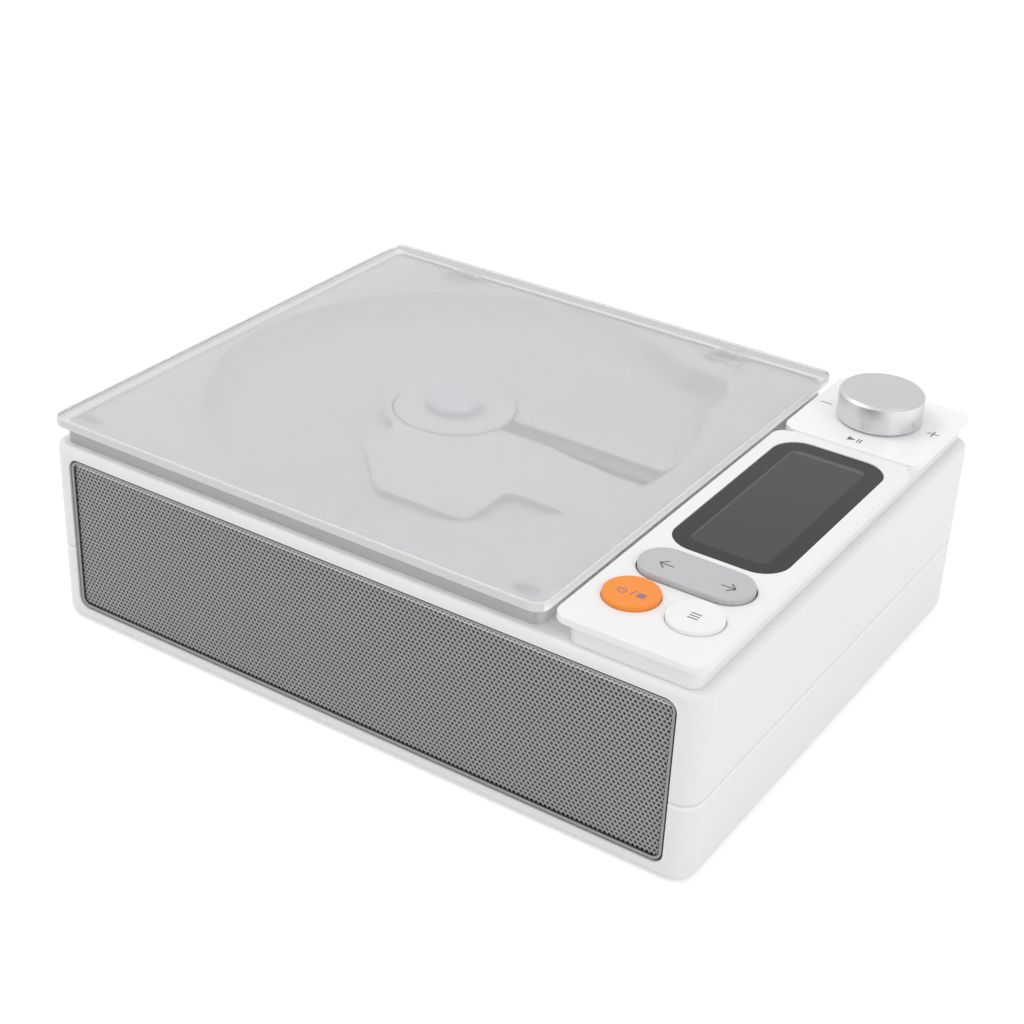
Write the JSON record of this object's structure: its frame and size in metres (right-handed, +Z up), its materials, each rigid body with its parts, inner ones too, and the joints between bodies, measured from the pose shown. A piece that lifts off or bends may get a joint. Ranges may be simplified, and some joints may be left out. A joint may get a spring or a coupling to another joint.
{
  "type": "wall mounted cd player",
  "caption": "Compact disc player with a hinged clear lid over a disc well, a speaker grille along its front and a raised strip with screen, buttons and knob.",
  "frame": {"origin": "the middle of the footprint, at the bottom of the rubber feet", "axes": "+X along the speaker front towards the control panel, +Y from the front to the sockets at the back, +Z up out of the disc well"},
  "size_m": [0.178, 0.14, 0.0625],
  "materials": {
    "shell_white": "fine satin moulded plastic",
    "plate_white": "smooth white",
    "grille_grey": "powder coated",
    "deck_grey": "satin",
    "cover_grey": "satin",
    "lid_smoke": "polished, slightly milky",
    "hub_grey": "smooth",
    "screen_black": "glossy window",
    "orange": "satin",
    "button_grey": "satin",
    "knob_silver": "turned, clear anodised",
    "black_plastic": "moulded",
    "black_cloth": "acoustic cloth",
    "cone_paper": "coated paper",
    "rubber_grey": "soft",
    "steel": "zinc plated",
    "chrome_rod": "ground and plated",
    "brass": "turned",
    "magnet": "sintered",
    "lens": "coated",
    "board_green": "solder resist",
    "battery_wrap": "shrink sleeve"
  },
  "bodies": {
    "case": {"acoustic_cloth": "black_cloth", "audio_jack": "black_plastic", "battery_pack": "battery_wrap", "board_screws": "steel", "case_screws": "steel", "control_board": "board_green", "damper_screws": "steel", "deck_screws": "steel", "disc_deck": "deck_grey", "display_module": "black_plastic", "encoder_body": "black_plastic", "front_plate": "plate_white", "grille_frame": "grille_grey", "guide_rods": "chrome_rod", "hinge_bracket_screws": "steel", "hinge_brackets": "black_plastic", "hinge_pins": "steel", "left_speaker_basket": "steel", "left_speaker_cone": "cone_paper", "left_speaker_magnet": "magnet", "left_speaker_surround": "rubber_grey", "lower_shell": "shell_white", "main_board": "board_green", "mechanism_chassis": "steel", "mechanism_cover": "cover_grey", "panel_base": "shell_white", "panel_screws": "steel", "rear_plate": "plate_white", "right_speaker_basket": "steel", "right_speaker_cone": "cone_paper", "right_speaker_magnet": "magnet", "right_speaker_surround": "rubber_grey", "rocker_pin": "steel", "rubber_dampers": "rubber_grey", "rubber_feet": "rubber_grey", "screen_lens": "screen_black", "sled_motor": "steel", "speaker_baffle": "black_plastic", "speaker_grille": "grille_grey", "speaker_screws": "steel", "spindle_motor": "steel", "tact_switches": "black_plastic", "upper_shell": "shell_white", "usb_socket": "steel"},
    "lid": {"lid": "lid_smoke", "lid_bumpers": "rubber_grey", "hinge_leaves": "black_plastic", "hinge_leaf_screws": "steel"},
    "power_button": {"power_button": "orange"},
    "mode_button": {"mode_button": "plate_white"},
    "track_rocker": {"track_rocker": "button_grey"},
    "knob_plunger": {"encoder_plunger": "steel"},
    "knob": {"volume_knob": "knob_silver", "encoder_shaft": "steel"},
    "turntable": {"turntable": "hub_grey", "clamp_hub": "hub_grey", "clamp_balls": "steel"},
    "laser_sled": {"laser_sled": "black_plastic", "laser_lens": "lens"},
    "lead_screw": {"lead_screw": "brass"}
  },
  "joints": [
    {"name": "lid_hinge", "type": "hinge", "parent": "case", "child": "lid", "pos_m": [-0.019, 0.0676, 0.0504], "axis": [-1, 0, 0], "range_deg": [0, 95]},
    {"name": "power_press", "type": "slide", "parent": "case", "child": "power_button", "axis": [0, 0, -1], "range_m": [0, 0.0004], "stiffness_N_per_m": 2500},
    {"name": "mode_press", "type": "slide", "parent": "case", "child": "mode_button", "axis": [0, 0, -1], "range_m": [0, 0.0004], "stiffness_N_per_m": 2500},
    {"name": "rocker_tilt", "type": "hinge", "parent": "case", "child": "track_rocker", "pos_m": [0.07005, -0.0401, 0.0505], "axis": [0, 1, 0], "range_deg": [-2, 2], "stiffness_Nm_per_rad": 0.45},
    {"name": "knob_press", "type": "slide", "parent": "case", "child": "knob_plunger", "axis": [0, 0, -1], "range_m": [0, 0.0004], "stiffness_N_per_m": 3000},
    {"name": "knob_turn", "type": "hinge", "parent": "knob_plunger", "child": "knob", "pos_m": [0.07005, 0.0533, 0.0554], "axis": [0, 0, 1], "continuous": true},
    {"name": "turntable_spin", "type": "hinge", "parent": "case", "child": "turntable", "pos_m": [-0.021, 0.0018, 0.0495], "axis": [0, 0, 1], "continuous": true},
    {"name": "sled_slide", "type": "slide", "parent": "case", "child": "laser_sled", "axis": [1, 0, 0], "range_m": [0, 0.0315]},
    {"name": "lead_screw_turn", "type": "hinge", "parent": "case", "child": "lead_screw", "pos_m": [-0.0095, -0.0164, 0.0375], "axis": [1, 0, 0], "range_deg": [0, 4600]}
  ],
  "couplings": [
    {"joint": "lead_screw_turn", "follows": "sled_slide", "rad_per_m": 2513.3}
  ]
}
